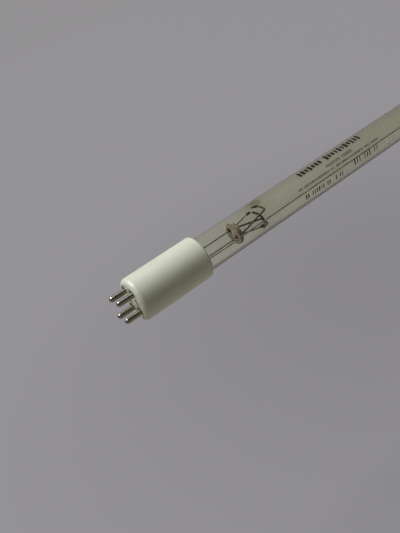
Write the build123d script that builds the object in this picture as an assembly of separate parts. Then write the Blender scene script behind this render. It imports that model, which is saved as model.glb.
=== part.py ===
from build123d import *
import math
import os

os.makedirs("parts", exist_ok=True)

# A single-ended, four-pin germicidal lamp. X runs from the pin face to the far
# end, the origin is the centre of the pin face, and +Z is up. All sizes are in
# millimetres, and depths of the cathode mounts are from the tube's own ends.

# Overall
overall_length = 287.0

# Contact pins and the pockets they stand in
pin_diameter = 2.35
pin_reach = 7.0
pin_spacing_y = 6.35
pin_spacing_z = 7.92
pin_tail = 4.0
pin_tail_solid = 1.0
pin_flange_step = 0.4
pin_flange_height = 0.8
pin_collar_step = 0.42
pin_collar_height = 0.6
pocket_margin = 1.2
pocket_depth = 1.2

# Ceramic caps
cap_wall = 1.05
cap_face_radius = 2.0
cap_mouth_radius = 0.8
base_web = 5.0
end_cap_floor = 3.0

# Quartz tube, pressed flat over the foils at both ends
tube_diameter = 15.0
tube_wall = 1.0
pinch_thickness = 3.2
pinch_cover = 1.0
pinch_shoulder = 5.0
cavity_taper = 0.5
shoulder_rise = 0.01

# Cement rings
cement_length = 4.0
cement_recess = 0.9
cement_slope = 0.5
cement_skin = 0.15
cement_back_gap = 0.1

# Wires outside the glass
wire_diameter = 0.5
wiring_room = 5.0
lead_straight = 0.9
pin_lead_straight = 1.3
lead_bend = 0.7
return_wire_1_turn = 170.5
return_wire_2_turn = 310.0
return_bend = 1.0
return_drop_start = 0.5
splice_start = 4.0
splice_length = 3.5
end_slack = 1.0

# Foils in the seals
mount_turn = 30.0
lead_spacing = 4.75
foil_inset = 2.0
foil_length = 6.0
foil_width = 2.0
foil_thickness = 0.06

# Insulator discs
disc_depth = 37.9
disc_margin = 1.55
disc_thickness = 1.6
disc_chamfer = 0.25
disc_seat = 0.7
disc_pocket_diameter = 1.7

# Filaments, their posts and clamps
filament_standoff = 13.4
filament_post_spacing = 8.8
filament_end_gap = 0.5
filament_bow = 1.3
filament_coil_diameter = 1.2
filament_wire_diameter = 0.36
filament_turns = 7.5
coil_corners_per_turn = 6
coil_corner_share = 0.95
leg_ease = 0.1
leg_below_clamp = 0.4
clamp_length = 1.8
clamp_wall = 0.22
clamp_clearance = 0.3
post_above_clamp = 0.3
post_straight = 0.6
disc_straight = 0.8
post_bend = 1.2
splay_bend = 2.5

# Anode wires, hooked round the filament's ends
anode_diameter = 0.8
anode_start = 0.5
anode_weld = 1.4
anode_corner_reach = 3.2
anode_corner_side = 0.7
anode_corner_drop = 3.6
anode_elbow_reach = 2.5
anode_elbow_inset = 0.8
anode_elbow_drop = 2.4
anode_tip_back = 0.5
anode_tip_inset = 0.3
anode_tip_drop = 2.7
anode_weld_bend = 2.0
anode_hook_bend = 1.0

# Mercury
mercury_diameter = 1.2
mercury_place = 150.0

# Clearances of the fits
pin_fit = 0.05
wire_fit = 0.05
seal_fit = 0.01
cement_fit = 0.02
contact_gap = 0.02

# How far a cutting body runs past what it cuts
cut_margin = 1.0

# Places and radii that follow from the sizes above
pin_radius = pin_diameter / 2
wire_radius = wire_diameter / 2
tube_radius = tube_diameter / 2
bore_radius = tube_radius - tube_wall
return_radius = tube_radius + wire_fit + wire_radius
cap_bore_radius = return_radius + wire_radius + cement_skin
cap_radius = cap_bore_radius + cap_wall
pinch_length = foil_inset + foil_length + pinch_cover
seal_length = pinch_length + pinch_shoulder
cement_room = cement_back_gap + cement_length + cement_recess
end_wiring_room = splice_start + splice_length + end_slack
pin_back = base_web + pin_tail
pin_hole_end = base_web + pin_tail_solid
tube_start = pin_back + wiring_room
tube_end = overall_length - end_cap_floor - end_wiring_room
base_length = tube_start + seal_length + cement_room
end_cap_mouth = tube_end - seal_length - cement_room
lead_side = lead_spacing / 2
post_side = filament_post_spacing / 2
filament_depth = disc_depth + filament_standoff
clamp_top = filament_depth - filament_coil_diameter / 2 - clamp_clearance
clamp_foot = clamp_top - clamp_length
leg_offset = wire_radius + contact_gap + filament_wire_diameter / 2
anode_offset = wire_radius + contact_gap + anode_diameter / 2

pin_places = {
    1: (pin_spacing_y / 2, pin_spacing_z / 2),
    2: (-pin_spacing_y / 2, pin_spacing_z / 2),
    3: (pin_spacing_y / 2, -pin_spacing_z / 2),
    4: (-pin_spacing_y / 2, -pin_spacing_z / 2),
}


# Places in the two cathode mounts: depth from the tube's end, side along the
# pinch and drop across it

def near_place(depth, side, drop):
    turn = math.radians(mount_turn)
    y = side * math.cos(turn) - drop * math.sin(turn)
    z = side * math.sin(turn) + drop * math.cos(turn)
    return Vector(tube_start + depth, y, z)


def far_place(depth, side, drop):
    near = near_place(depth, side, drop)
    return Vector(tube_end - depth, near.Y, near.Z)


def mount_plane(place, depth, side=0, drop=0):
    """The plane across the tube through a place of the mount, its x direction along the pinch."""
    centre = place(depth, side, drop)
    along = place(depth, side + 1, drop) - centre
    inwards = place(depth + 1, side, drop) - centre
    return Plane(origin=centre, x_dir=along, z_dir=inwards)


# Shapes that several pieces share

def round_wire(points, bends, diameter):
    """A drawn wire: straight runs through the points, joined by tangent bends."""
    path = FilletPolyline(*points, radius=bends) if bends else Line(*points)
    section = Plane(origin=path @ 0, z_dir=path % 0) * Circle(diameter / 2)
    return sweep(section, path=path)


def rod(centre, radius, start, end):
    """A plain rod along X round a centre given as (y, z)."""
    base = Plane(origin=(start, centre[0], centre[1]), x_dir=(0, 1, 0), z_dir=(1, 0, 0))
    return extrude(base * Circle(radius), end - start)


def turned(section):
    """A body turned about the X axis from the edges of its half section."""
    return revolve(make_face(Wire(section)), Axis.X)


def ceramic_cup(closed_at, mouth_at, floor):
    """A pressed ceramic cup, rounded at its closed end and at its open mouth."""
    way = math.copysign(1, mouth_at - closed_at)
    floor_at = closed_at + way * floor
    face_flat = cap_radius - cap_face_radius
    side_start = closed_at + way * cap_face_radius
    side_end = mouth_at - way * cap_mouth_radius
    mouth_flat = cap_radius - cap_mouth_radius
    section = [
        Line((closed_at, 0), (closed_at, face_flat)),
        RadiusArc((closed_at, face_flat), (side_start, cap_radius), way * cap_face_radius),
        Line((side_start, cap_radius), (side_end, cap_radius)),
        RadiusArc((side_end, cap_radius), (mouth_at, mouth_flat), way * cap_mouth_radius),
        Line((mouth_at, mouth_flat), (mouth_at, cap_bore_radius)),
        Line((mouth_at, cap_bore_radius), (floor_at, cap_bore_radius)),
        Line((floor_at, cap_bore_radius), (floor_at, 0)),
        Line((floor_at, 0), (closed_at, 0)),
    ]
    return turned(section)


# Base and pins

def base_cap():
    cup = ceramic_cup(0, base_length, base_web)
    for place in pin_places.values():
        hole = rod(place, pin_radius + pin_fit, -cut_margin, base_web + cut_margin)
        pocket = rod(place, pin_radius + pocket_margin, -cut_margin, pocket_depth)
        cup = cup - hole - pocket
    return cup


def contact_pin(place):
    """A turned pin: domed tip, collar in its pocket, flange behind the web, and a drilled tail."""
    dome_end = -pin_reach + pin_radius
    collar_radius = pin_radius + pin_collar_step
    collar_front = pocket_depth - pin_collar_height
    flange_radius = pin_radius + pin_flange_step
    flange_back = base_web + pin_flange_height
    hole_radius = wire_radius + wire_fit
    corners = [
        (dome_end, pin_radius),
        (collar_front, pin_radius),
        (collar_front, collar_radius),
        (pocket_depth, collar_radius),
        (pocket_depth, pin_radius),
        (base_web, pin_radius),
        (base_web, flange_radius),
        (flange_back, flange_radius),
        (flange_back, pin_radius),
        (pin_back, pin_radius),
        (pin_back, hole_radius),
        (pin_hole_end, hole_radius),
        (pin_hole_end, 0),
        (-pin_reach, 0),
    ]
    section = [Line(a, b) for a, b in zip(corners[:-1], corners[1:])]
    section.append(RadiusArc((-pin_reach, 0), (dome_end, pin_radius), pin_radius))
    return Pos(0, place[0], place[1]) * turned(section)


# Quartz tube

def pressed_bar(radius, half_thickness, end_depth, flat_depth, round_depth):
    """A round bar with its ends squeezed flat: a rod kept inside a pressed outline."""
    x_end, x_flat, x_round = [near_place(d, 0, 0).X for d in (end_depth, flat_depth, round_depth)]
    far_end, far_flat, far_round = [far_place(d, 0, 0).X for d in (end_depth, flat_depth, round_depth)]
    high = radius + shoulder_rise
    level = (Vector(1, 0), Vector(1, 0))
    upper = [
        Line((x_end, 0), (x_end, half_thickness)),
        Line((x_end, half_thickness), (x_flat, half_thickness)),
        Spline((x_flat, half_thickness), (x_round, high), tangents=level),
        Line((x_round, high), (far_round, high)),
        Spline((far_round, high), (far_flat, half_thickness), tangents=level),
        Line((far_flat, half_thickness), (far_end, half_thickness)),
        Line((far_end, half_thickness), (far_end, 0)),
        Line((far_end, 0), (x_end, 0)),
    ]
    half = make_face(Wire(upper))
    slab = extrude(half + mirror(half, Plane.XZ), radius + cut_margin, both=True)
    # drawn in XY, the slab is turned until its thickness lies across the pinch
    slab = Rot(90 + mount_turn, 0, 0) * slab
    return rod((0, 0), radius, x_end, far_end) & slab


def seal_rooms(place):
    """What the glass leaves free for each foil and for the wires at its two ends."""
    foil_end = foil_inset + foil_length
    foil_section = Rectangle(foil_width + 2 * seal_fit, foil_thickness + 2 * seal_fit)
    wire_section = Circle(wire_radius + seal_fit)
    rooms = []
    for side in (lead_side, -lead_side):
        foil_start = mount_plane(place, foil_inset - seal_fit, side)
        outer_start = mount_plane(place, -cut_margin, side)
        inner_start = mount_plane(place, foil_end, side)
        rooms.append(extrude(foil_start * foil_section, foil_length + 2 * seal_fit))
        rooms.append(extrude(outer_start * wire_section, cut_margin + foil_inset))
        rooms.append(extrude(inner_start * wire_section, pinch_cover + tube_wall + cut_margin))
    return rooms


def quartz_tube():
    outside = pressed_bar(tube_radius, pinch_thickness / 2, 0, pinch_length, seal_length)
    cavity_end = pinch_length + tube_wall
    cavity_half = pinch_thickness / 2 - tube_wall
    cavity = pressed_bar(
        bore_radius, cavity_half, cavity_end, cavity_end + cavity_taper, seal_length
    )
    glass = outside - cavity
    for place in (near_place, far_place):
        for room in seal_rooms(place):
            glass = glass - room
    return glass


# Cement, notched where the return wires pass

def return_centre(degrees):
    turn = math.radians(degrees)
    return return_radius * math.cos(turn), return_radius * math.sin(turn)


def cement_ring(mouth_at, inwards):
    outer = cap_bore_radius - cement_fit
    inner = tube_radius + cement_fit
    front = mouth_at + inwards * cement_recess
    crest = front - inwards * cement_slope
    back = front + inwards * cement_length
    corners = [(back, inner), (crest, inner), (front, outer), (back, outer), (back, inner)]
    body = turned([Line(a, b) for a, b in zip(corners[:-1], corners[1:])])
    low = min(back, crest) - cut_margin
    high = max(back, crest) + cut_margin
    for degrees in (return_wire_1_turn, return_wire_2_turn):
        body = body - rod(return_centre(degrees), wire_radius + cement_fit, low, high)
    return body


# Wires between the pins, the seals and the far end

def near_outer_lead(side, pin_place):
    points = [
        near_place(foil_inset - seal_fit, side, 0),
        near_place(-lead_straight, side, 0),
        Vector(pin_back + pin_lead_straight, *pin_place),
        Vector(pin_hole_end + wire_fit, *pin_place),
    ]
    return round_wire(points, [lead_bend, lead_bend], wire_diameter)


def far_outer_lead(side):
    points = [
        far_place(foil_inset - seal_fit, side, 0),
        far_place(-splice_start - splice_length, side, 0),
    ]
    return round_wire(points, [], wire_diameter)


def return_wire(pin_place, degrees, side):
    """The bare wire from a pin, along the outside of the tube, to the far seal's outer lead."""
    y, z = return_centre(degrees)
    drop = math.copysign(wire_diameter + contact_gap, -side)
    points = [
        Vector(pin_hole_end + wire_fit, *pin_place),
        Vector(pin_back + pin_lead_straight, *pin_place),
        Vector(tube_start - return_drop_start, y, z),
        Vector(tube_end + return_drop_start, y, z),
        far_place(-splice_start, side, drop),
        far_place(-splice_start - splice_length, side, drop),
    ]
    return round_wire(points, [return_bend] * 4, wire_diameter)


# Cathode mount, made alike at both ends

def foil(place, side):
    section = mount_plane(place, foil_inset, side) * Rectangle(foil_width, foil_thickness)
    return extrude(section, foil_length)


def insulator_disc(place):
    """A ceramic disc whose two wire holes open into wider pockets on the seal's side."""
    front = disc_depth - disc_thickness / 2
    radius = bore_radius - disc_margin
    body = extrude(mount_plane(place, front) * Circle(radius), disc_thickness)
    body = chamfer(body.edges().filter_by(GeomType.CIRCLE), disc_chamfer)
    for side in (lead_side, -lead_side):
        start = mount_plane(place, front - cut_margin, side)
        hole = extrude(start * Circle(wire_radius + wire_fit), disc_thickness + 2 * cut_margin)
        pocket = extrude(start * Circle(disc_pocket_diameter / 2), cut_margin + disc_thickness - disc_seat)
        body = body - hole - pocket
    return body


def support_wire(place, sign):
    """From the foil through the disc, then splayed out to the post that holds the filament."""
    points = [
        place(foil_inset + foil_length + seal_fit, sign * lead_side, 0),
        place(disc_depth + disc_thickness / 2 + disc_straight, sign * lead_side, 0),
        place(clamp_foot - post_straight, sign * post_side, 0),
        place(clamp_top + post_above_clamp, sign * post_side, 0),
    ]
    return round_wire(points, [splay_bend, post_bend], wire_diameter)


def filament(place):
    """A bowed coil with a straight leg beside each post; its turns are polygons with rounded corners."""
    half = post_side - filament_end_gap
    bend_radius = (half**2 + filament_bow**2) / (2 * filament_bow)
    half_angle = math.asin(half / bend_radius)
    centre_depth = filament_depth + filament_bow - bend_radius
    coil_radius = (filament_coil_diameter - filament_wire_diameter) / 2
    coil_bend = coil_corner_share * coil_radius * math.cos(math.pi / coil_corners_per_turn)
    leg_foot = clamp_foot - leg_below_clamp
    leg_top = clamp_top + leg_ease
    steps = round(filament_turns * coil_corners_per_turn)
    points = [
        place(leg_foot, -post_side, -leg_offset),
        place(leg_top, -post_side, -leg_offset),
    ]
    for step in range(steps + 1):
        share = step / steps
        swing = half_angle * (2 * share - 1)
        turn = math.tau * filament_turns * share - math.pi / 2
        reach = bend_radius + coil_radius * math.cos(turn)
        depth = centre_depth + reach * math.cos(swing)
        points.append(place(depth, reach * math.sin(swing), coil_radius * math.sin(turn)))
    points.append(place(leg_top, post_side, leg_offset))
    points.append(place(leg_foot, post_side, leg_offset))
    return round_wire(points, coil_bend, filament_wire_diameter)


def filament_clamp(place, sign):
    """A strip folded round the post and the filament's leg."""
    room_width = wire_diameter + 2 * contact_gap
    room_length = room_width + contact_gap + filament_wire_diameter
    room = SlotOverall(room_length, room_width, rotation=90)
    skin = SlotOverall(room_length + 2 * clamp_wall, room_width + 2 * clamp_wall, rotation=90)
    middle = sign * (contact_gap + filament_wire_diameter) / 2
    start = mount_plane(place, clamp_foot, sign * post_side, middle)
    return extrude(start * (skin - room), clamp_length)


def anode_wire(place, sign):
    """Welded to the support wire behind the disc, it crosses over and hooks round the filament's end."""
    weld_from = disc_depth + disc_thickness / 2 + anode_start
    points = [
        place(weld_from, sign * lead_side, -sign * anode_offset),
        place(weld_from + anode_weld, sign * lead_side, -sign * anode_offset),
        place(
            filament_depth + anode_corner_reach,
            sign * anode_corner_side,
            -sign * anode_corner_drop,
        ),
        place(
            filament_depth + anode_elbow_reach,
            -sign * (post_side - anode_elbow_inset),
            -sign * anode_elbow_drop,
        ),
        place(
            filament_depth - anode_tip_back,
            -sign * (post_side - anode_tip_inset),
            -sign * anode_tip_drop,
        ),
    ]
    bends = [anode_weld_bend, anode_hook_bend, anode_hook_bend]
    return round_wire(points, bends, anode_diameter)


def mercury_drop():
    radius = mercury_diameter / 2
    return Pos(mercury_place, 0, radius + contact_gap - bore_radius) * Sphere(radius)


parts = {
    "base_cap": base_cap(),
    "base_cement": cement_ring(base_length, -1),
    "quartz_tube": quartz_tube(),
    "end_cap": ceramic_cup(overall_length, end_cap_mouth, end_cap_floor),
    "end_cap_cement": cement_ring(end_cap_mouth, 1),
    "return_wire_1": return_wire(pin_places[2], return_wire_1_turn, -lead_side),
    "return_wire_2": return_wire(pin_places[3], return_wire_2_turn, lead_side),
    "near_outer_lead_1": near_outer_lead(lead_side, pin_places[1]),
    "near_outer_lead_2": near_outer_lead(-lead_side, pin_places[4]),
    "far_outer_lead_1": far_outer_lead(lead_side),
    "far_outer_lead_2": far_outer_lead(-lead_side),
    "mercury_drop": mercury_drop(),
}
for number, pin_place in pin_places.items():
    parts[f"contact_pin_{number}"] = contact_pin(pin_place)
for end, place in (("near", near_place), ("far", far_place)):
    parts[f"{end}_insulator_disc"] = insulator_disc(place)
    parts[f"{end}_filament"] = filament(place)
    for number, sign in ((1, 1), (2, -1)):
        parts[f"{end}_foil_{number}"] = foil(place, sign * lead_side)
        parts[f"{end}_support_wire_{number}"] = support_wire(place, sign)
        parts[f"{end}_anode_wire_{number}"] = anode_wire(place, sign)
        parts[f"{end}_filament_clamp_{number}"] = filament_clamp(place, sign)

for name, shape in parts.items():
    export_step(shape, f"parts/{name}.step")
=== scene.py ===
import math

import bmesh
import bpy
from bpy.props import FloatProperty, FloatVectorProperty, IntProperty, PointerProperty
from mathutils import Matrix, Vector


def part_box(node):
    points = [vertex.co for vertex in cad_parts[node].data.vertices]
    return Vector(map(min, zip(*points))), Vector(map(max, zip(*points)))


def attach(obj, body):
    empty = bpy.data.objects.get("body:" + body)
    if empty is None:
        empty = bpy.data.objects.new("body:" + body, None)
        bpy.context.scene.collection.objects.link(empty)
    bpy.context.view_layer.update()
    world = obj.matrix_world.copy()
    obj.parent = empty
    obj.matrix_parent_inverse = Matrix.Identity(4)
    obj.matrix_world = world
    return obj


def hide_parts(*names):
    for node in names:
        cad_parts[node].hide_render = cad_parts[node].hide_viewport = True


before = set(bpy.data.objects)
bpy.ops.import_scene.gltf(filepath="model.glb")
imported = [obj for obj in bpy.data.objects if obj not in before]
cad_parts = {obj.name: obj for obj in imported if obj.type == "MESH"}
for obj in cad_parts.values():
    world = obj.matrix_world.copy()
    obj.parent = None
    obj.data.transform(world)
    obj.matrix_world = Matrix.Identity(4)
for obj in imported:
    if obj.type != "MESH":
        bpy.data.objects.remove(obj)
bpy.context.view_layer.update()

bl_info = {
    "name": "Germicidal Lamp Dresser",
    "version": (1, 0, 0),
    "blender": (4, 5, 0),
    "location": "3D View > Sidebar > Lamp",
    "description": "Gives a four-pin quartz germicidal lamp its finishes, fine wires and stage",
    "category": "Object",
}

BODY = "root"
MM = 0.001

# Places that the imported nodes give, in metres along X
BASE_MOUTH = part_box("base_cap")[1].x
END_CAP_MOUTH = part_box("end_cap")[0].x
TUBE_START, TUBE_END = (corner.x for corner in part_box("quartz_tube"))
TUBE_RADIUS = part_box("quartz_tube")[1].y
CAP_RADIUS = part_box("base_cap")[1].y

# The part's own sizes, in millimetres
LEAD_SIDE = 2.375
POST_SIDE = 4.4
FILAMENT_DEPTH = 51.3
FILAMENT_BOW = 1.3
FILAMENT_END_GAP = 0.5
COIL_DIAMETER = 1.2
LEG_OFFSET = 0.45
LEG_FOOT = 48.2
LEG_TOP = 50.5
RETURN_RADIUS = 7.8
PIN_SIDE = 3.175
PIN_DROP = 3.96
PIN_HOLE_END = 6.05
PIN_LEAD_END = 10.3
SPLICE_START = 4.0
SPLICE_END = 7.5
SPLICE_DROP = 0.52

# Places round the tube: of the mounts in radians, of the return wires in degrees
MOUNT_TURN = math.radians(30)
RETURN_TURNS = {1: 170.5, 2: 310.0}

# Points that draw one turn of a filament's coil
POINTS_PER_TURN = 12

# Places on the tube's wall, in metres across it, and the way that its lower side faces,
# along which the glass takes a painted shade
SPOT_ON_WALL = (-0.0008, 0.0071)
LOWER_SIDE = (0, -0.486, -0.874)

# How far a return wire bends round the tube: metres along the lamp, degrees
WIRE_SWAYS = ((0.045, 4.2), (0.058, 1.0), (0.100, -0.9), (0.160, -3.4), (0.220, -1.2))

# A return wire runs this far past the tube's ends, stays straight this far outside a cap and
# takes this far to wander fully, in metres
WIRE_PAST_TUBE = 0.0005
WIRE_FIXED = 0.002
WIRE_EASE = 0.012
WANDER_SEED = 3.7

# Where the board's painted shadow is deepest, and what share of its paint shows there
BOARD_SHADOW_PLACE = (0.3, 0.15, -0.2)
BOARD_SHADOW_SHARE = 0.83

# The light over the lamp, and the camera, fitted to the base and the pins in the photo
KEY_COLOUR = (1.0, 1.0, 1.28)
KEY_FROM = Vector((-0.25, 0.28, 0.93))
CAMERA_PLACE = Vector((-0.052363, -0.179570, 0.096056))
CAMERA_RIGHT = Vector((0.76516, -0.54690, -0.33974))
CAMERA_UP = Vector((0.52093, 0.21578, 0.82588))
FOCAL_LENGTH = 37.171
SENSOR_WIDTH = 36.0


# Places in the cathode mounts

def near_place(depth, side, drop):
    """A place of the near mount in metres.

    depth runs from the tube's end, side along the pinch and drop across it, all in millimetres.
    """
    y = side * math.cos(MOUNT_TURN) - drop * math.sin(MOUNT_TURN)
    z = side * math.sin(MOUNT_TURN) + drop * math.cos(MOUNT_TURN)
    return Vector((TUBE_START + depth * MM, y * MM, z * MM))


def far_place(depth, side, drop):
    """The same place of the far mount, which mirrors the near one."""
    near = near_place(depth, side, drop)
    return Vector((TUBE_END - depth * MM, near.y, near.z))


# Materials

def linear(hex_colour):
    """The linear RGBA of an sRGB hex colour."""
    channels = [int(hex_colour[i:i + 2], 16) / 255 for i in (1, 3, 5)]
    return [c / 12.92 if c <= 0.04045 else ((c + 0.055) / 1.055) ** 2.4 for c in channels] + [1.0]


def add(tree, kind, inputs=None, stops=(), **settings):
    """Adds a node with its settings, and on a colour ramp its two stops as (position, hex colour).

    inputs maps a socket's name or number to a value, or to the output that is linked to it.
    """
    made = tree.nodes.new(kind)
    for name, value in settings.items():
        setattr(made, name, value)
    for key, value in (inputs or {}).items():
        socket = made.inputs[key]
        if isinstance(value, bpy.types.NodeSocket):
            tree.links.new(value, socket)
        else:
            socket.default_value = value
    for number, (position, colour) in enumerate(stops):
        made.color_ramp.elements[number].position = position
        made.color_ramp.elements[number].color = linear(colour)
    return made


def new_material(name):
    """An empty material and its node tree."""
    material = bpy.data.materials.new(name)
    material.use_nodes = True
    material.node_tree.nodes.clear()
    return material, material.node_tree


def finished(material, surface):
    """Gives a material its surface."""
    add(material.node_tree, "ShaderNodeOutputMaterial", {"Surface": surface.outputs[0]})
    return material


def grain(tree, per_metre, stretch=(1, 1, 1), detail=4.0):
    """A grainy pattern on the object's own coordinates, its size given as grains per metre."""
    place = add(tree, "ShaderNodeTexCoord")
    scaled = add(
        tree, "ShaderNodeMapping", {"Vector": place.outputs["Object"], "Scale": stretch}
    )
    return add(
        tree, "ShaderNodeTexNoise",
        {"Vector": scaled.outputs[0], "Scale": per_metre, "Detail": detail, "Roughness": 0.55},
    )


def glazed_steatite():
    """Steatite, pressed dry and fired under a thin clear glaze.

    The glaze gives a soft satin shine with faint orange peel; the body under it is a slightly
    greenish white, a little translucent at its edges, with a few tiny iron specks.
    """
    material, tree = new_material("glazed_steatite")
    tone = grain(tree, 90, detail=3)  # clouds of about 11 mm
    body = add(
        tree, "ShaderNodeValToRGB", {"Fac": tone.outputs["Fac"]},
        stops=((0.35, "#D7DAB3"), (0.65, "#DDE0B9")),
    )
    specks = grain(tree, 2600, detail=1)  # specks of about 0.15 mm
    speck_mask = add(
        tree, "ShaderNodeMapRange",
        {"Value": specks.outputs["Fac"], "From Min": 0.77, "From Max": 0.80,
         "To Min": 0, "To Max": 0.5},
    )
    coloured = add(
        tree, "ShaderNodeMix",
        {"Factor": speck_mask.outputs[0], 6: body.outputs["Color"], 7: linear("#B9B29C")},
        data_type="RGBA",
    )
    smudge = grain(tree, 160, detail=5)  # finger smudges of about 6 mm
    rough = add(
        tree, "ShaderNodeMapRange",
        {"Value": smudge.outputs["Fac"], "From Min": 0.3, "From Max": 0.7,
         "To Min": 0.36, "To Max": 0.5},
    )
    peel = grain(tree, 2200, detail=2)  # orange peel of about 0.45 mm
    relief = add(
        tree, "ShaderNodeBump",
        {"Height": peel.outputs["Fac"], "Strength": 0.06, "Distance": 0.00004},
    )
    surface = add(
        tree, "ShaderNodeBsdfPrincipled",
        {
            "Base Color": coloured.outputs[2],
            "Roughness": rough.outputs[0],
            "IOR": 1.55,
            "Subsurface Weight": 0.06,
            "Subsurface Radius": (0.0012, 0.0013, 0.0010),
            "Subsurface Scale": 1.0,
            "Coat Weight": 0.08,
            "Coat Roughness": 0.12,
            "Normal": relief.outputs[0],
        },
    )
    return finished(material, surface)


def drawn_quartz(settings):
    """Fused quartz, drawn as tube and flame-pressed at its ends.

    Clear glass of low index with faint lengthwise draw lines and streaks, a little lighter by the
    caps and duller along its middle. A trace of evaporated metal round each cathode gives a warm
    haze, with a dark spot on the wall over each filament. A painted shade, a brownish tint, lies
    along the lower side and draws the dark line of the tube's lower edge.
    Light falls straight through on what stands inside.
    """
    material, tree = new_material("drawn_fused_quartz")
    place = add(tree, "ShaderNodeTexCoord").outputs["Object"]
    along = add(tree, "ShaderNodeSeparateXYZ", {"Vector": place}).outputs["X"]
    cathodes = [TUBE_START + FILAMENT_DEPTH * MM, TUBE_END - FILAMENT_DEPTH * MM]
    middle = (TUBE_START + TUBE_END) / 2

    # How far a point lies from the tube's middle, and from the middle of each haze
    distances = []
    for centre in (middle, cathodes[0] + MM, cathodes[1] - MM):
        away = add(tree, "ShaderNodeMath", {0: along, 1: centre}, operation="SUBTRACT")
        distances.append(
            add(tree, "ShaderNodeMath", {0: away.outputs[0]}, operation="ABSOLUTE").outputs[0]
        )
    from_middle, *from_hazes = distances
    from_haze = add(
        tree, "ShaderNodeMath", {0: from_hazes[0], 1: from_hazes[1]}, operation="MINIMUM"
    )
    haze = add(
        tree, "ShaderNodeMapRange",
        {"Value": from_haze.outputs[0], "From Min": 0.001, "From Max": 0.011,
         "To Min": 1, "To Max": 0},
        interpolation_type="SMOOTHERSTEP",
    )
    patches = grain(tree, 140, detail=3)  # patches of about 7 mm
    patchy = add(
        tree, "ShaderNodeMapRange",
        {"Value": patches.outputs["Fac"], "From Min": 0.3, "From Max": 0.7,
         "To Min": 0.35, "To Max": 1.0},
    )
    stain = add(
        tree, "ShaderNodeMath", {0: haze.outputs[0], 1: patchy.outputs[0]}, operation="MULTIPLY"
    )
    streaks = grain(tree, 420, stretch=(0.02, 1, 1), detail=2)  # about 2.4 mm apart
    streak = add(
        tree, "ShaderNodeMapRange",
        {"Value": streaks.outputs["Fac"], "From Min": 0.4, "From Max": 0.65},
    )
    # The tint is a little duller along the middle and lighter by the caps
    duller_middle = add(  # the middle 36 mm, fading over the next 32 mm on each side
        tree, "ShaderNodeMapRange",
        {"Value": from_middle, "From Min": 0.018, "From Max": 0.05, "To Min": 1, "To Max": 0},
    )
    lighter_ends = add(  # growing over the last 50 mm before each cap
        tree, "ShaderNodeMapRange",
        {"Value": from_middle, "From Min": 0.06, "From Max": 0.108},
    )
    spots = []
    for centre in cathodes:
        away = add(
            tree, "ShaderNodeVectorMath", {0: place, 1: (centre, *SPOT_ON_WALL)},
            operation="DISTANCE",
        )
        spots.append(add(
            tree, "ShaderNodeMapRange",
            {"Value": away.outputs["Value"], "From Min": 0.0012, "From Max": 0.0042,
             "To Min": 1, "To Max": 0},
            interpolation_type="SMOOTHSTEP",
        ))
    # Painted shade: a brownish tint along the lower edge, on the side facing down and to the camera
    lower = add(tree, "ShaderNodeVectorMath", {0: place, 1: LOWER_SIDE}, operation="DOT_PRODUCT")
    painted_edge_shade = add(
        tree, "ShaderNodeMapRange",
        {"Value": lower.outputs["Value"], "From Min": 0.0068, "From Max": 0.0073},
        interpolation_type="SMOOTHSTEP",
    )
    tint = list(settings.quartz_tint) + [1]
    for share, colour in (
        (streak, linear("#F3F3E2")),
        (duller_middle, linear("#F2F2E1")),
        (lighter_ends, linear("#FEFFF2")),
        (stain, linear("#ECEBD8")),
        *((spot, linear("#CFCCB2")) for spot in spots),
        (painted_edge_shade, list(settings.edge_shade_tint) + [1]),
    ):
        tint = add(
            tree, "ShaderNodeMix", {"Factor": share.outputs[0], 6: tint, 7: colour},
            data_type="RGBA",
        ).outputs[2]
    lines = grain(tree, 900, stretch=(0.01, 1, 1), detail=3)  # draw lines about 1 mm apart
    relief = add(
        tree, "ShaderNodeBump",
        {"Height": lines.outputs["Fac"], "Strength": 0.05, "Distance": 0.00002},
    )
    clear = add(
        tree, "ShaderNodeBsdfPrincipled",
        {
            "Base Color": tint,
            "Roughness": 0.02,
            "IOR": 1.458,
            "Transmission Weight": 1.0,
            "Normal": relief.outputs[0],
        },
    )
    passed = add(tree, "ShaderNodeBsdfTransparent", {"Color": linear("#F4F4F0")})
    path = add(tree, "ShaderNodeLightPath")
    lets_light = add(
        tree, "ShaderNodeMath",
        {0: path.outputs["Is Shadow Ray"], 1: path.outputs["Is Diffuse Ray"]},
        operation="MAXIMUM",
    )
    mixed = add(
        tree, "ShaderNodeMixShader",
        {0: lets_light.outputs[0], 1: clear.outputs[0], 2: passed.outputs[0]},
    )
    return finished(material, mixed)


def metal(name, colours, rough, lines, stretch, patches=220, bump=0.15):
    """A metal with lines left by its making and a patchy tarnish, both given per metre.

    Real tool and die lines lie about 0.02 mm apart; they are drawn coarser, so that they show.
    """
    material, tree = new_material(name)
    tarnish = grain(tree, patches, detail=5)
    colour = add(
        tree, "ShaderNodeValToRGB", {"Fac": tarnish.outputs["Fac"]},
        stops=((0.3, colours[0]), (0.7, colours[1])),
    )
    scored = grain(tree, lines, stretch=stretch, detail=3)
    roughness = add(
        tree, "ShaderNodeMapRange",
        {"Value": scored.outputs["Fac"], "From Min": 0.3, "From Max": 0.7,
         "To Min": rough[0], "To Max": rough[1]},
    )
    relief = add(
        tree, "ShaderNodeBump",
        {"Height": scored.outputs["Fac"], "Strength": bump, "Distance": 0.00001},
    )
    surface = add(
        tree, "ShaderNodeBsdfPrincipled",
        {
            "Base Color": colour.outputs["Color"],
            "Metallic": 1.0,
            "Roughness": roughness.outputs[0],
            "Normal": relief.outputs[0],
        },
    )
    return finished(material, surface)


def turned_nickel():
    """Brass pins, turned and nickel plated: bright warm grey with tool marks 0.1 mm apart."""
    return metal(
        "turned_nickel_plate", ("#928F76", "#ABA88B"), (0.30, 0.44), 10000, (1, 0.02, 0.02),
        patches=300, bump=0.2,
    )


def drawn_nickel():
    """Nickel wire, drawn and annealed: dull olive grey with faint die lines along it."""
    return metal("drawn_nickel_wire", ("#625F4B", "#7D7A64"), (0.28, 0.46), 9000, (0.02, 1, 1))


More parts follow.
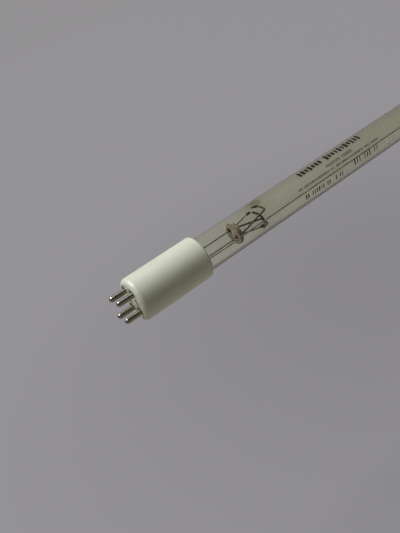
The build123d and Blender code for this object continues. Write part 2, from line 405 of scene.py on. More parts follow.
def heated_nickel():
    """Nickel wire beside the cathode, browned by its heat: duller and darker than a fresh one."""
    return metal(
        "heated_nickel_wire", ("#3A392E", "#535141"), (0.38, 0.56), 8000, (0.02, 1, 1), patches=260
    )


def bare_nickel():
    """Nickel wire left bare outside the tube: pale satin grey, softened by handling."""
    return metal("bare_nickel_wire", ("#96937A", "#AEAB90"), (0.34, 0.48), 9000, (0.02, 1, 1))


def fired_nickel():
    """Anode wire fired in the lamp: nickel darkened by what the filament throws off, quite dull."""
    return metal(
        "fired_nickel_anode", ("#45443A", "#5C5A4F"), (0.78, 0.92), 6000, (0.03, 1, 1), patches=350
    )


def rolled_molybdenum():
    """Molybdenum ribbon rolled 0.03 mm thin: bluish grey with faint lines from the rolls."""
    return metal("rolled_molybdenum_foil", ("#7C7D80", "#96979A"), (0.22, 0.36), 5000, (0.03, 1, 1))


def folded_nickel():
    """Nickel strip, folded and pressed shut on the filament's leg: nearly black from the firing."""
    return metal("pressed_nickel_strip", ("#201F18", "#36342A"), (0.40, 0.58), 4000, (1, 1, 0.05))


def liquid_mercury():
    """Mercury: a mirror-bright drop with the finest skin of dust."""
    return metal(
        "liquid_mercury", ("#C9CBCE", "#D6D8DA"), (0.03, 0.07), 2000, (1, 1, 1),
        patches=500, bump=0.02,
    )


def hole_soot(tree, inner, outer):
    """Soot on a disc: full at its lead holes, none past the outer distance, half at its rim."""
    place = add(tree, "ShaderNodeTexCoord").outputs["Object"]
    flat = add(
        tree, "ShaderNodeVectorMath", {0: place, 1: (0, 1, 1)}, operation="MULTIPLY"
    ).outputs[0]
    gaps = []
    for way in (1, -1):
        lead = near_place(0, way * LEAD_SIDE, 0)
        gaps.append(add(
            tree, "ShaderNodeVectorMath", {0: flat, 1: (0, lead.y, lead.z)}, operation="DISTANCE"
        ).outputs["Value"])
    nearest = add(tree, "ShaderNodeMath", {0: gaps[0], 1: gaps[1]}, operation="MINIMUM")
    ragged = grain(tree, 1400, detail=3)  # a ragged edge of about 0.7 mm
    shift = add(
        tree, "ShaderNodeMapRange",
        {"Value": ragged.outputs["Fac"], "From Min": 0.3, "From Max": 0.7,
         "To Min": -0.0002, "To Max": 0.0002},
    )
    edge = add(
        tree, "ShaderNodeMath", {0: nearest.outputs[0], 1: shift.outputs[0]}, operation="ADD"
    )
    holes = add(
        tree, "ShaderNodeMapRange",
        {"Value": edge.outputs[0], "From Min": inner, "From Max": outer, "To Min": 1, "To Max": 0},
    )
    reach = add(tree, "ShaderNodeVectorMath", {0: flat}, operation="LENGTH").outputs["Value"]
    ragged_reach = add(
        tree, "ShaderNodeMath", {0: reach, 1: shift.outputs[0]}, operation="SUBTRACT"
    )
    rim = add(  # the last 0.5 mm of the disc's radius of 4.95 mm
        tree, "ShaderNodeMapRange",
        {"Value": ragged_reach.outputs[0], "From Min": 0.0044, "From Max": 0.0049,
         "To Min": 0, "To Max": 0.55},
    )
    return add(
        tree, "ShaderNodeMath", {0: holes.outputs[0], 1: rim.outputs[0]}, operation="MAXIMUM"
    ).outputs[0]


def matt_ceramic(name, tones, grain_per_metre, rough, bump, soot=None):
    """An unglazed ceramic or cement: matt, with sandy grain, cloudy tone and dark pores."""
    material, tree = new_material(name)
    cloud = grain(tree, 260, detail=5)  # clouds of about 4 mm
    body = add(
        tree, "ShaderNodeValToRGB", {"Fac": cloud.outputs["Fac"]},
        stops=((0.38, tones[0]), (0.6, tones[1])),
    )
    sand = grain(tree, grain_per_metre, detail=4)
    pore_mask = add(
        tree, "ShaderNodeMapRange",
        {"Value": sand.outputs["Fac"], "From Min": 0.66, "From Max": 0.72,
         "To Min": 0, "To Max": 0.7},
    )
    coloured = add(
        tree, "ShaderNodeMix",
        {"Factor": pore_mask.outputs[0], 6: body.outputs["Color"], 7: linear("#4A4032")},
        data_type="RGBA",
    )
    if soot:
        coloured = add(
            tree, "ShaderNodeMix",
            {"Factor": hole_soot(tree, *soot), 6: coloured.outputs[2], 7: linear("#2E261B")},
            data_type="RGBA",
        )
    roughness = add(
        tree, "ShaderNodeMapRange",
        {"Value": sand.outputs["Fac"], "From Min": 0.3, "From Max": 0.7,
         "To Min": rough[0], "To Max": rough[1]},
    )
    relief = add(
        tree, "ShaderNodeBump",
        {"Height": sand.outputs["Fac"], "Strength": bump, "Distance": 0.00005},
    )
    surface = add(
        tree, "ShaderNodeBsdfPrincipled",
        {
            "Base Color": coloured.outputs[2],
            "Roughness": roughness.outputs[0],
            "IOR": 1.5,
            "Normal": relief.outputs[0],
        },
    )
    return finished(material, surface)


def fired_disc_ceramic():
    """Insulator disc, pressed and fired unglazed, then stained tan and brown by the hot cathode."""
    return matt_ceramic(
        "fired_disc_ceramic", ("#8E7E64", "#BDAE90"), 3500, (0.6, 0.8), 0.3, soot=(0.0009, 0.0016)
    )


def lamp_cement():
    """Basing cement, run in wet and baked: sandy, olive grey, quite matt."""
    return matt_ceramic("baked_lamp_cement", ("#8C8568", "#A39C7F"), 4200, (0.75, 0.95), 0.5)


def coated_tungsten():
    """Tungsten coil, dipped in emitter paste and burnt in: dark grey wire with pale crusts."""
    material, tree = new_material("coated_tungsten_coil")
    crust = grain(tree, 2600, detail=5)  # crusts of about 0.3 mm
    mask = add(
        tree, "ShaderNodeMapRange",
        {"Value": crust.outputs["Fac"], "From Min": 0.5, "From Max": 0.62},
    )
    colour = add(
        tree, "ShaderNodeMix",
        {"Factor": mask.outputs[0], 6: linear("#2A2820"), 7: linear("#4A463A")},
        data_type="RGBA",
    )
    shine = add(
        tree, "ShaderNodeMapRange", {"Value": mask.outputs[0], "To Min": 0.5, "To Max": 0.0}
    )
    dull = add(
        tree, "ShaderNodeMapRange", {"Value": mask.outputs[0], "To Min": 0.6, "To Max": 0.9}
    )
    relief = add(
        tree, "ShaderNodeBump",
        {"Height": crust.outputs["Fac"], "Strength": 0.4, "Distance": 0.00003},
    )
    surface = add(
        tree, "ShaderNodeBsdfPrincipled",
        {
            "Base Color": colour.outputs[2],
            "Metallic": shine.outputs[0],
            "Roughness": dull.outputs[0],
            "Normal": relief.outputs[0],
        },
    )
    return finished(material, surface)


def fired_ink(name, dark, light):
    """Ceramic ink stamped on the quartz and fired: matt, a little thin and broken at its edges."""
    material, tree = new_material(name)
    wear = grain(tree, 2400, detail=4)  # thin places of about 0.4 mm
    colour = add(
        tree, "ShaderNodeValToRGB", {"Fac": wear.outputs["Fac"]},
        stops=((0.45, dark), (0.68, light)),
    )
    surface = add(
        tree, "ShaderNodeBsdfPrincipled",
        {
            "Base Color": colour.outputs["Color"],
            "Roughness": 0.85,
            "IOR": 1.5,
            "Specular IOR Level": 0.2,  # burnt pigment stands rough out of the glassy flux
        },
    )
    return finished(material, surface)


def studio_board(settings):
    """Pale grey painted board: matt, with a painted shadow beside the lamp that fades out far off.
    """
    material, tree = new_material("painted_studio_board")
    place = add(tree, "ShaderNodeTexCoord").outputs["Object"]
    away = add(
        tree, "ShaderNodeVectorMath", {0: place, 1: BOARD_SHADOW_PLACE}, operation="DISTANCE"
    )
    far = add(
        tree, "ShaderNodeMapRange",
        {"Value": away.outputs["Value"], "From Max": 0.5},
        interpolation_type="SMOOTHSTEP",
    )
    paint = list(settings.board_colour)
    # Painted shadow: the paint, dimmed, beside the lamp
    shade = [c * BOARD_SHADOW_SHARE for c in paint]
    made = add(
        tree, "ShaderNodeMix", {"Factor": far.outputs[0], 6: shade + [1], 7: paint + [1]},
        data_type="RGBA",
    )
    surface = add(
        tree, "ShaderNodeBsdfPrincipled",
        {"Base Color": made.outputs[2], "Roughness": 0.9, "Specular IOR Level": 0.2},
    )
    return finished(material, surface)


def dress(names, material):
    """Puts one material on CAD nodes."""
    for name in names:
        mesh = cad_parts[name].data
        mesh.materials.clear()
        mesh.materials.append(material)


# Geometry Nodes

def geometry_tree(name, inputs):
    """A Geometry Nodes group and its inputs, which are given as (name, kind, default)."""
    tree = bpy.data.node_groups.new(name, "GeometryNodeTree")
    tree.interface.new_socket("Geometry", in_out="INPUT", socket_type="NodeSocketGeometry")
    for title, kind, default in inputs:
        socket = tree.interface.new_socket(title, in_out="INPUT", socket_type="NodeSocket" + kind)
        if default is not None:
            socket.default_value = default
    tree.interface.new_socket("Geometry", in_out="OUTPUT", socket_type="NodeSocketGeometry")
    return tree, add(tree, "NodeGroupInput").outputs


def close_tree(tree, geometry, material):
    """Ends a tree in Realize Instances and Set Material."""
    real = add(tree, "GeometryNodeRealizeInstances", {"Geometry": geometry})
    painted = add(
        tree, "GeometryNodeSetMaterial", {"Geometry": real.outputs[0], "Material": material}
    )
    add(tree, "NodeGroupOutput", {0: painted.outputs[0]})
    return tree


def grown(name, tree, values, points=()):
    """A plain mesh piece made by a tree, from points joined in a line if it needs any."""
    mesh = bpy.data.meshes.new(name)
    mesh.from_pydata(points, [(i, i + 1) for i in range(len(points) - 1)], [])
    piece = bpy.data.objects.new(name, mesh)
    bpy.context.scene.collection.objects.link(piece)
    modifier = piece.modifiers.new("shape", "NODES")
    modifier.node_group = tree
    sockets = {s.name: s.identifier for s in tree.interface.items_tree if s.in_out == "INPUT"}
    for title, value in values.items():
        modifier[sockets[title]] = value
    graph = bpy.context.evaluated_depsgraph_get()
    plain = bpy.data.meshes.new_from_object(piece.evaluated_get(graph), depsgraph=graph)
    piece.modifiers.clear()
    piece.data = plain
    bpy.data.meshes.remove(mesh)
    plain.name = name
    if not plain.polygons:
        raise RuntimeError(f"{name} came out empty")
    return piece


def wound_wire_tree():
    """A fine wire wound round a path: it turns about the path's own normal and binormal."""
    tree, given = geometry_tree("wound_wire", [
        ("Winding Radius", "Float", 0.000145),
        ("Pitch", "Float", 0.00016),
        ("Wire Radius", "Float", 0.000065),
        ("Steps Per Turn", "Int", 9),
        ("Sides", "Int", 5),
        ("Material", "Material", None),
    ])
    line = add(tree, "GeometryNodeMeshToCurve", {0: given["Geometry"]})
    rounded = add(
        tree, "GeometryNodeCurveSplineType", {"Curve": line.outputs[0]}, spline_type="CATMULL_ROM"
    )
    fine = add(
        tree, "GeometryNodeSetSplineResolution", {"Geometry": rounded.outputs[0], "Resolution": 6}
    )
    length = add(tree, "GeometryNodeCurveLength", {0: fine.outputs[0]})
    turns = add(
        tree, "ShaderNodeMath", {0: length.outputs[0], 1: given["Pitch"]}, operation="DIVIDE"
    ).outputs[0]
    count = add(
        tree, "ShaderNodeMath", {0: turns, 1: given["Steps Per Turn"]}, operation="MULTIPLY"
    ).outputs[0]
    path = add(
        tree, "GeometryNodeResampleCurve", {"Curve": fine.outputs[0], "Count": count}, mode="COUNT"
    )
    share = add(tree, "GeometryNodeSplineParameter").outputs["Factor"]
    turned = add(tree, "ShaderNodeMath", {0: share, 1: turns}, operation="MULTIPLY")
    angle = add(
        tree, "ShaderNodeMath", {0: turned.outputs[0], 1: math.tau}, operation="MULTIPLY"
    ).outputs[0]
    normal = add(tree, "GeometryNodeInputNormal").outputs[0]
    tangent = add(tree, "GeometryNodeInputTangent").outputs[0]
    binormal = add(
        tree, "ShaderNodeVectorMath", {0: tangent, 1: normal}, operation="CROSS_PRODUCT"
    ).outputs[0]
    shifts = []
    for wave, way in (("COSINE", normal), ("SINE", binormal)):
        swing = add(tree, "ShaderNodeMath", {0: angle}, operation=wave)
        reach = add(
            tree, "ShaderNodeMath", {0: swing.outputs[0], 1: given["Winding Radius"]},
            operation="MULTIPLY",
        )
        shifts.append(add(
            tree, "ShaderNodeVectorMath", {0: way, "Scale": reach.outputs[0]}, operation="SCALE"
        ).outputs[0])
    offset = add(tree, "ShaderNodeVectorMath", {0: shifts[0], 1: shifts[1]}, operation="ADD")
    coil = add(
        tree, "GeometryNodeSetPosition",
        {"Geometry": path.outputs[0], "Offset": offset.outputs[0]},
    )
    ring = add(
        tree, "GeometryNodeCurvePrimitiveCircle",
        {"Radius": given["Wire Radius"], "Resolution": given["Sides"]},
    )
    wire = add(
        tree, "GeometryNodeCurveToMesh",
        {"Curve": coil.outputs[0], "Profile Curve": ring.outputs[0], "Fill Caps": True},
    )
    smooth = add(tree, "GeometryNodeSetShadeSmooth", {"Geometry": wire.outputs[0]})
    return close_tree(tree, smooth.outputs[0], given["Material"])


def strung_wire_tree():
    """A bare wire, bent round a few corners, that wanders a little along its free run."""
    tree, given = geometry_tree("strung_wire", [
        ("Wire Radius", "Float", 0.00025),
        ("Bend Radius", "Float", 0.001),
        ("Wander", "Float", 0.00008),
        ("Wave Length", "Float", 0.03),
        ("Run Start", "Float", 0.04),
        ("Run End", "Float", 0.25),
        ("Seed", "Float", 0.0),
        ("Step", "Float", 0.0005),
        ("Material", "Material", None),
    ])
    line = add(tree, "GeometryNodeMeshToCurve", {0: given["Geometry"]})
    bent = add(
        tree, "GeometryNodeFilletCurve",
        {"Curve": line.outputs[0], "Radius": given["Bend Radius"], "Limit Radius": True,
         "Count": 6},
        mode="POLY",
    )
    path = add(
        tree, "GeometryNodeResampleCurve",
        {"Curve": bent.outputs[0], "Length": given["Step"]}, mode="LENGTH",
    )
    place = add(tree, "GeometryNodeInputPosition").outputs[0]
    along = add(tree, "ShaderNodeSeparateXYZ", {0: place}).outputs["X"]
    waves = add(
        tree, "ShaderNodeMath", {0: along, 1: given["Wave Length"]}, operation="DIVIDE"
    )
    phase = add(tree, "ShaderNodeMath", {0: waves.outputs[0], 1: given["Seed"]}, operation="ADD")
    wave = add(
        tree, "ShaderNodeTexNoise", {"W": phase.outputs[0], "Scale": 1.0, "Detail": 1.0},
        noise_dimensions="1D",
    )
    centred = add(
        tree, "ShaderNodeMath", {0: wave.outputs["Fac"], 1: 0.5}, operation="SUBTRACT"
    )
    swing = add(tree, "ShaderNodeMath", {0: centred.outputs[0], 1: 2.0}, operation="MULTIPLY")
    free_from = add(
        tree, "ShaderNodeMath", {0: given["Run Start"], 1: WIRE_EASE}, operation="ADD"
    )
    free_to = add(
        tree, "ShaderNodeMath", {0: given["Run End"], 1: WIRE_EASE}, operation="SUBTRACT"
    )
    ease_in = add(
        tree, "ShaderNodeMapRange",
        {"Value": along, "From Min": given["Run Start"], "From Max": free_from.outputs[0]},
        interpolation_type="SMOOTHSTEP",
    )
    ease_out = add(
        tree, "ShaderNodeMapRange",
        {"Value": along, "From Min": free_to.outputs[0], "From Max": given["Run End"],
         "To Min": 1, "To Max": 0},
        interpolation_type="SMOOTHSTEP",
    )
    free = add(
        tree, "ShaderNodeMath", {0: ease_in.outputs[0], 1: ease_out.outputs[0]},
        operation="MULTIPLY",
    )
    turn = swing
    for step, value in (
        ("MULTIPLY", given["Wander"]),
        ("MULTIPLY", free.outputs[0]),
        ("DIVIDE", RETURN_RADIUS * MM),
    ):
        turn = add(tree, "ShaderNodeMath", {0: turn.outputs[0], 1: value}, operation=step)
    swung = add(
        tree, "ShaderNodeVectorRotate", {"Vector": place, "Angle": turn.outputs[0]},
        rotation_type="X_AXIS",
    )
    strung = add(
        tree, "GeometryNodeSetPosition", {"Geometry": path.outputs[0], "Position": swung.outputs[0]}
    )
    ring = add(
        tree, "GeometryNodeCurvePrimitiveCircle", {"Radius": given["Wire Radius"], "Resolution": 10}
    )
    wire = add(
        tree, "GeometryNodeCurveToMesh",
        {"Curve": strung.outputs[0], "Profile Curve": ring.outputs[0], "Fill Caps": True},
    )
    smooth = add(tree, "GeometryNodeSetShadeSmooth", {"Geometry": wire.outputs[0]})
    return close_tree(tree, smooth.outputs[0], given["Material"])


def stroke_row_tree():
    """A row of plain ink strokes of uneven sizes along the tube, wrapped on its wall."""
    tree, given = geometry_tree("stroke_row", [
        ("Start", "Float", 0.091),
        ("Length", "Float", 0.05),
        ("Pitch", "Float", 0.001),
        ("Height", "Float", 0.002),
        ("Least Width", "Float", 0.35),
        ("Most Width", "Float", 0.7),
        ("Least Height", "Float", 0.8),
        ("Filled Share", "Float", 0.85),
        ("Angle", "Float", 0.0),
        ("Tube Radius", "Float", 0.0075),
        ("Thickness", "Float", 0.00003),
        ("Seed", "Int", 0),
        ("Material", "Material", None),
    ])
    room = add(
        tree, "ShaderNodeMath", {0: given["Length"], 1: given["Pitch"]}, operation="DIVIDE"
    )
    count = add(tree, "ShaderNodeMath", {0: room.outputs[0]}, operation="FLOOR")
    first = add(tree, "ShaderNodeCombineXYZ", {"X": given["Start"]})
    apart = add(tree, "ShaderNodeCombineXYZ", {"X": given["Pitch"]})
    row = add(
        tree, "GeometryNodeMeshLine",
        {"Count": count.outputs[0], "Start Location": first.outputs[0], "Offset": apart.outputs[0]},
        mode="OFFSET",
    )
    kept = add(
        tree, "FunctionNodeRandomValue",
        {"Probability": given["Filled Share"], "Seed": given["Seed"]}, data_type="BOOLEAN",
    ).outputs[3]
    spans = []
    for order, least, most in (
        (1.0, given["Least Width"], given["Most Width"]), (2.0, given["Least Height"], 1.0),
    ):
        seed = add(tree, "ShaderNodeMath", {0: given["Seed"], 1: order}, operation="ADD")
        spans.append(add(
            tree, "FunctionNodeRandomValue", {2: least, 3: most, "Seed": seed.outputs[0]},
            data_type="FLOAT",
        ).outputs[1])
    width = add(
        tree, "ShaderNodeMath", {0: spans[0], 1: given["Pitch"]}, operation="MULTIPLY"
    )
    height = add(
        tree, "ShaderNodeMath", {0: spans[1], 1: given["Height"]}, operation="MULTIPLY"
    )
    size = add(
        tree, "ShaderNodeCombineXYZ",
        {"X": width.outputs[0], "Y": height.outputs[0], "Z": given["Thickness"]},
    )
    block = add(
        tree, "GeometryNodeMeshCube",
        {"Size": (1, 1, 1), "Vertices X": 2, "Vertices Y": 4, "Vertices Z": 2},
    )
    strokes = add(
        tree, "GeometryNodeInstanceOnPoints",
        {"Points": row.outputs[0], "Selection": kept, "Instance": block.outputs[0],
         "Scale": size.outputs[0]},
    )
    flat = add(tree, "GeometryNodeRealizeInstances", {"Geometry": strokes.outputs[0]})
    place = add(tree, "GeometryNodeInputPosition")
    parts = add(tree, "ShaderNodeSeparateXYZ", {0: place.outputs[0]})
    round_wall = add(
        tree, "ShaderNodeMath", {0: parts.outputs["Y"], 1: given["Tube Radius"]}, operation="DIVIDE"
    )
    turn = add(
        tree, "ShaderNodeMath", {0: given["Angle"], 1: round_wall.outputs[0]}, operation="SUBTRACT"
    )
    reach = add(
        tree, "ShaderNodeMath", {0: parts.outputs["Z"], 1: given["Tube Radius"]}, operation="ADD"
    )
    across = []
    for wave in ("COSINE", "SINE"):
        swing = add(tree, "ShaderNodeMath", {0: turn.outputs[0]}, operation=wave)
        across.append(add(
            tree, "ShaderNodeMath", {0: reach.outputs[0], 1: swing.outputs[0]},
            operation="MULTIPLY",
        ).outputs[0])
    wrapped = add(
        tree, "ShaderNodeCombineXYZ", {"X": parts.outputs["X"], "Y": across[0], "Z": across[1]}
    )
    laid = add(
        tree, "GeometryNodeSetPosition",
        {"Geometry": flat.outputs[0], "Position": wrapped.outputs[0]},
    )
    return close_tree(tree, laid.outputs[0], given["Material"])


# Settings

class GlassSettings(bpy.types.PropertyGroup):
    quartz_tint: FloatVectorProperty(
        name="Quartz Tint", description="What the quartz lets through, per wall",
        default=linear("#FAFCEC")[:3], size=3, subtype="COLOR", min=0, max=1,
    )
    # Tint of the painted shade along the tube's lower edge
    edge_shade_tint: FloatVectorProperty(
        name="Edge Shade Tint", description="What the film along the lower side lets through",
        default=linear("#94907A")[:3], size=3, subtype="COLOR", min=0, max=1,
    )


class FilamentSettings(bpy.types.PropertyGroup):
    wire_diameter: FloatProperty(
        name="Wire", description="Diameter of the tungsten wire",
        default=0.00013, unit="LENGTH", min=0.00002,
    )
    winding_diameter: FloatProperty(
        name="First Winding", description="Diameter of the first winding, over its wire",
        default=0.00042, unit="LENGTH", min=0.0001,
    )
    winding_pitch: FloatProperty(
        name="First Pitch", description="Distance between turns of the first winding",
        default=0.00016, unit="LENGTH", min=0.00005,
    )
    coil_turns: FloatProperty(
        name="Coil Turns", description="Turns of the second winding, a whole number and a half",
        default=15.5, min=1.5,
    )


class WireSettings(bpy.types.PropertyGroup):
    return_diameter: FloatProperty(
        name="Return Wire", description="Diameter of the bare wires outside the tube",
        default=0.0005, unit="LENGTH", min=0.0001,
    )
    wander: FloatProperty(
        name="Wander", description="How far a return wire strays from straight",
        default=0.00008, unit="LENGTH", min=0,
    )
    sway: FloatProperty(
        name="Sway", description="Share of the slow sideways bend of the return wires",
        default=1.0, min=0, max=1, subtype="FACTOR",
    )


class MarkSettings(bpy.types.PropertyGroup):
    start: FloatProperty(
        name="Start", description="Where the marks begin along the lamp",
        default=0.091, unit="LENGTH",
    )
    thickness: FloatProperty(
        name="Ink Thickness", description="Thickness of the fired ink",
        default=0.00003, unit="LENGTH", min=0.000005,
    )
    seed: IntProperty(name="Seed", description="Seed of the uneven strokes", default=4, min=0)


class StageSettings(bpy.types.PropertyGroup):
    board_colour: FloatVectorProperty(
        name="Board Colour", description="Colour of the painted board",
        default=linear("#8F8D81")[:3], size=3, subtype="COLOR", min=0, max=1,
    )
    board_radius: FloatProperty(
        name="Board Radius", description="Radius of the board",
        default=15.0, unit="LENGTH", min=0.5,
    )
    board_gap: FloatProperty(
        name="Board Gap", description="Distance of the board under the caps",
        default=0.2, unit="LENGTH", min=0,
    )
    backdrop_colour: FloatVectorProperty(
        name="Backdrop Colour", description="Colour of the backdrop beyond the board",
        default=linear("#939193")[:3], size=3, subtype="COLOR", min=0, max=1,
    )
    room_colour: FloatVectorProperty(
        name="Room Colour", description="Light of the dim room round the lamp",
        default=linear("#1E1D16")[:3], size=3, subtype="COLOR", min=0, max=1,
    )
    key_power: FloatProperty(
        name="Key Power", description="Strength of the large overhead light", default=3.56, min=0,
    )
    key_softness: FloatProperty(
        name="Key Softness", description="How wide the overhead light looks from the lamp",
        default=math.radians(42), subtype="ANGLE", min=0,
    )


GROUPS = {
    "lamp_glass": GlassSettings,
    "lamp_filament": FilamentSettings,
    "lamp_wires": WireSettings,
    "lamp_marks": MarkSettings,
    "lamp_stage": StageSettings,
}


# Operators

def own(piece, slot, *nodes):
    """Lets a finished piece ride and stand for CAD nodes; its slot is not used."""
    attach(piece, BODY)
    if nodes:
        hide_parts(*nodes)
    return piece


class LAMP_OT_ceramic_caps(bpy.types.Operator):
    """Glaze the two steatite caps"""
    bl_idname = "lamp.ceramic_caps"
    bl_label = "Ceramic Caps"

    def execute(self, context):
        dress(["base_cap", "end_cap"], glazed_steatite())
        return {"FINISHED"}


class LAMP_OT_contact_pins(bpy.types.Operator):
    """Plate the four contact pins"""
    bl_idname = "lamp.contact_pins"
    bl_label = "Contact Pins"

    def execute(self, context):
        dress([f"contact_pin_{i}" for i in (1, 2, 3, 4)], turned_nickel())
        return {"FINISHED"}


class LAMP_OT_quartz_tube(bpy.types.Operator):
    """Make the tube clear quartz"""
    bl_idname = "lamp.quartz_tube"
    bl_label = "Quartz Tube"

    def execute(self, context):
        dress(["quartz_tube"], drawn_quartz(context.scene.lamp_glass))
        return {"FINISHED"}


class LAMP_OT_cement_rings(bpy.types.Operator):
    """Bake the two rings of cement"""
    bl_idname = "lamp.cement_rings"
    bl_label = "Cement Rings"

    def execute(self, context):
        dress(["base_cement", "end_cap_cement"], lamp_cement())
        return {"FINISHED"}


class LAMP_OT_return_wires(bpy.types.Operator):
    """String the two bare wires along the outside of the tube"""
    bl_idname = "lamp.return_wires"
    bl_label = "Return Wires"

    def execute(self, context):
        settings = context.scene.lamp_wires
        dress([f"{end}_outer_lead_{i}" for end in ("near", "far") for i in (1, 2)], drawn_nickel())
        bare = bare_nickel()
        tree = strung_wire_tree()
        for number, way in ((1, 1), (2, -1)):
            pin = (-way * PIN_SIDE * MM, way * PIN_DROP * MM)
            points = [
                Vector((PIN_HOLE_END * MM, *pin)),
                Vector((PIN_LEAD_END * MM, *pin)),
            ]
            for along, sway in (
                (TUBE_START - WIRE_PAST_TUBE, 0), *WIRE_SWAYS, (TUBE_END + WIRE_PAST_TUBE, 0)
            ):
                turn = math.radians(RETURN_TURNS[number] + way * sway * settings.sway)
                points.append(Vector((
                    along, RETURN_RADIUS * math.cos(turn) * MM, RETURN_RADIUS * math.sin(turn) * MM
                )))
            points += [
                far_place(-SPLICE_START, -way * LEAD_SIDE, way * SPLICE_DROP),
                far_place(-SPLICE_END, -way * LEAD_SIDE, way * SPLICE_DROP),
            ]
            wire = grown(
                f"strung_return_wire_{number}", tree,
                {
                    "Wire Radius": settings.return_diameter / 2,
                    "Wander": settings.wander,
                    "Run Start": BASE_MOUTH + WIRE_FIXED,
                    "Run End": END_CAP_MOUTH - WIRE_FIXED,
                    "Seed": WANDER_SEED * number,
                    "Material": bare,
                },
                points,
            )
            own(wire, "nickel_wire", f"return_wire_{number}")
        return {"FINISHED"}


class LAMP_OT_seal_foils(bpy.types.Operator):
    """Roll the foils in the seals"""
    bl_idname = "lamp.seal_foils"
    bl_label = "Seal Foils"

    def execute(self, context):
        dress([f"{end}_foil_{i}" for end in ("near", "far") for i in (1, 2)], rolled_molybdenum())
        return {"FINISHED"}


class LAMP_OT_insulator_discs(bpy.types.Operator):
    """Fire the two insulator discs"""
    bl_idname = "lamp.insulator_discs"
    bl_label = "Insulator Discs"

    def execute(self, context):
        dress(["near_insulator_disc", "far_insulator_disc"], fired_disc_ceramic())
        return {"FINISHED"}


class LAMP_OT_mount_wires(bpy.types.Operator):
    """Finish the support wires, clamps and anode wires of both mounts"""
    bl_idname = "lamp.mount_wires"
    bl_label = "Mount Wires"

    def execute(self, context):
        finishes = {
            "support_wire": heated_nickel(),
            "anode_wire": fired_nickel(),
            "filament_clamp": folded_nickel(),
        }
        for kind, material in finishes.items():
            dress([f"{end}_{kind}_{i}" for end in ("near", "far") for i in (1, 2)], material)
        return {"FINISHED"}


class LAMP_OT_filaments(bpy.types.Operator):
    """Wind both filaments as coiled coils"""
    bl_idname = "lamp.filaments"
    bl_label = "Filaments"

    def execute(self, context):
        settings = context.scene.lamp_filament
        tungsten = coated_tungsten()
        tree = wound_wire_tree()
        half = POST_SIDE - FILAMENT_END_GAP
        bend = (half ** 2 + FILAMENT_BOW ** 2) / (2 * FILAMENT_BOW)
        half_angle = math.asin(half / bend)
        centre = FILAMENT_DEPTH + FILAMENT_BOW - bend
        winding = settings.winding_diameter / MM
        radius = (COIL_DIAMETER - winding) / 2
        steps = round(settings.coil_turns * POINTS_PER_TURN)
        for end, place in (("near", near_place), ("far", far_place)):
            points = [
                place(LEG_FOOT, -POST_SIDE, -LEG_OFFSET),
                place((LEG_FOOT + LEG_TOP) / 2, -POST_SIDE, -LEG_OFFSET),
                place(LEG_TOP, -POST_SIDE, -LEG_OFFSET),
            ]
            for step in range(steps + 1):
                share = step / steps
                swing = half_angle * (2 * share - 1)
                turn = math.tau * settings.coil_turns * share - math.pi / 2
                reach = bend + radius * math.cos(turn)
                points.append(place(
                    centre + reach * math.cos(swing), reach * math.sin(swing),
                    radius * math.sin(turn),
                ))
            points += [
                place(LEG_TOP, POST_SIDE, LEG_OFFSET),
                place((LEG_FOOT + LEG_TOP) / 2, POST_SIDE, LEG_OFFSET),
                place(LEG_FOOT, POST_SIDE, LEG_OFFSET),
            ]
            coil = grown(
                f"{end}_coiled_filament", tree,
                {
                    "Winding Radius": (settings.winding_diameter - settings.wire_diameter) / 2,
                    "Pitch": settings.winding_pitch,
                    "Wire Radius": settings.wire_diameter / 2,
                    "Material": tungsten,
                },
                points,
            )
            own(coil, "tungsten", f"{end}_filament")
        return {"FINISHED"}


class LAMP_OT_mercury(bpy.types.Operator):
    """Make the loose drop mercury"""
    bl_idname = "lamp.mercury"
    bl_label = "Mercury"

    def execute(self, context):
        dress(["mercury_drop"], liquid_mercury())
        return {"FINISHED"}


class LAMP_OT_fired_marks(bpy.types.Operator):
    """Stamp five rows of plain strokes on the tube"""
    bl_idname = "lamp.fired_marks"
    bl_label = "Fired Marks"

    def execute(self, context):
        settings = context.scene.lamp_marks
        black = fired_ink("fired_black_ink", "#1B190F", "#322F1E")
        grey = fired_ink("fired_grey_ink", "#565444", "#767460")
        tree = stroke_row_tree()
        # name, ink, angle round the tube, start, length, pitch, height, widths, least height, share
        rows = (
            ("bold", black, 107, 0, 40, 2.1, 3.6, 0.42, 0.78, 0.6, 0.95),
            ("middle", grey, 137.5, 13, 18, 1.15, 1.6, 0.4, 0.68, 0.8, 0.9),
            ("fine", grey, 155, -6, 52, 0.8, 1.05, 0.4, 0.65, 0.75, 0.88),
            ("low", grey, 189, -5, 26, 1.35, 2.3, 0.3, 0.6, 0.85, 0.72),
            ("large", grey, 181, 28, 17, 1.7, 3.0, 0.22, 0.42, 0.8, 0.85),
        )
        for order, row in enumerate(rows):
            name, ink, angle, start, length, pitch, height, least, most, low, share = row
            marks = grown(
                f"fired_marks_{name}", tree,
                {
                    "Start": settings.start + start * MM,
                    "Length": length * MM,
                    "Pitch": pitch * MM,
                    "Height": height * MM,
                    "Least Width": least,
                    "Most Width": most,
                    "Least Height": low,
                    "Filled Share": share,
                    "Angle": math.radians(angle),
                    "Tube Radius": TUBE_RADIUS,
                    "Thickness": settings.thickness,
                    "Seed": settings.seed + 10 * order,
                    "Material": ink,
                },
            )
            own(marks, "marking_ink")
        return {"FINISHED"}


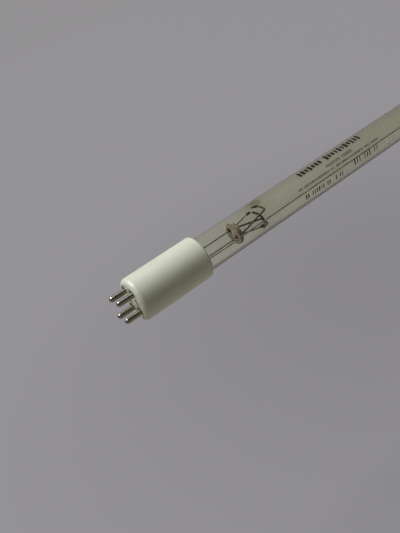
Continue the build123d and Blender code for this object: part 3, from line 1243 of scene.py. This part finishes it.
class LAMP_OT_stage(bpy.types.Operator):
    """Set the pale board, the soft lights and the camera"""
    bl_idname = "lamp.stage"
    bl_label = "Stage"

    def execute(self, context):
        settings = context.scene.lamp_stage
        board = bmesh.new()
        bmesh.ops.create_circle(
            board, cap_ends=True, segments=96, radius=settings.board_radius,
            matrix=Matrix.Translation((0, 0, -CAP_RADIUS - settings.board_gap)),
        )
        mesh = bpy.data.meshes.new("studio_board")
        board.to_mesh(mesh)
        board.free()
        mesh.materials.append(studio_board(settings))
        floor = bpy.data.objects.new("studio_board", mesh)
        context.scene.collection.objects.link(floor)

        # The room is dim as a light, but stands behind the lamp and its glass as pale as the board
        world = bpy.data.worlds.new("soft_room")
        world.use_nodes = True
        tree = world.node_tree
        tree.nodes.clear()
        path = add(tree, "ShaderNodeLightPath")
        seen = add(
            tree, "ShaderNodeMath",
            {0: path.outputs["Is Camera Ray"], 1: path.outputs["Is Transmission Ray"]},
            operation="MAXIMUM",
        )
        shade = add(
            tree, "ShaderNodeMix",
            {"Factor": seen.outputs[0], 6: list(settings.room_colour) + [1],
             7: list(settings.backdrop_colour) + [1]},
            data_type="RGBA",
        )
        sky = add(tree, "ShaderNodeBackground", {"Color": shade.outputs[2], "Strength": 1.0})
        add(tree, "ShaderNodeOutputWorld", {"Surface": sky.outputs[0]})
        context.scene.world = world
        key = bpy.data.lights.new("overhead_soft_light", "SUN")
        key.energy = settings.key_power
        key.angle = settings.key_softness
        key.color = KEY_COLOUR
        lamp = bpy.data.objects.new("overhead_soft_light", key)
        lamp.rotation_euler = KEY_FROM.to_track_quat("Z", "Y").to_euler()
        context.scene.collection.objects.link(lamp)

        lens = bpy.data.cameras.new("photo_camera")
        lens.lens = FOCAL_LENGTH
        lens.sensor_width = SENSOR_WIDTH
        lens.clip_start, lens.clip_end = 0.01, 20
        camera = bpy.data.objects.new("photo_camera", lens)
        context.scene.collection.objects.link(camera)
        back = CAMERA_RIGHT.cross(CAMERA_UP)
        turn = Matrix((CAMERA_RIGHT, CAMERA_UP, back)).transposed().to_4x4()
        camera.matrix_world = Matrix.Translation(CAMERA_PLACE) @ turn
        context.scene.camera = camera
        context.scene.view_settings.view_transform = "Standard"
        return {"FINISHED"}


OPERATORS = (
    LAMP_OT_stage,
    LAMP_OT_ceramic_caps,
    LAMP_OT_contact_pins,
    LAMP_OT_quartz_tube,
    LAMP_OT_cement_rings,
    LAMP_OT_return_wires,
    LAMP_OT_seal_foils,
    LAMP_OT_insulator_discs,
    LAMP_OT_mount_wires,
    LAMP_OT_filaments,
    LAMP_OT_mercury,
    LAMP_OT_fired_marks,
)


class LAMP_PT_dresser(bpy.types.Panel):
    """Sizes, colours and steps of the lamp"""
    bl_idname = "LAMP_PT_dresser"
    bl_label = "Germicidal Lamp"
    bl_space_type = "VIEW_3D"
    bl_region_type = "UI"
    bl_category = "Lamp"

    def draw(self, context):
        for group_name, group in GROUPS.items():
            box = self.layout.box()
            box.label(text=group_name.replace("lamp_", "").title())
            for title in group.__annotations__:
                box.prop(getattr(context.scene, group_name), title)
        for operator in OPERATORS:
            self.layout.operator(operator.bl_idname)


CLASSES = (*GROUPS.values(), *OPERATORS, LAMP_PT_dresser)


def register():
    for made in CLASSES:
        bpy.utils.register_class(made)
    for name, group in GROUPS.items():
        setattr(bpy.types.Scene, name, PointerProperty(type=group))


def unregister():
    for name in GROUPS:
        delattr(bpy.types.Scene, name)
    for made in reversed(CLASSES):
        bpy.utils.unregister_class(made)


def main():
    register()
    for operator in OPERATORS:
        group, name = operator.bl_idname.split(".")
        getattr(getattr(bpy.ops, group), name)()


if __name__ == "__main__":
    main()
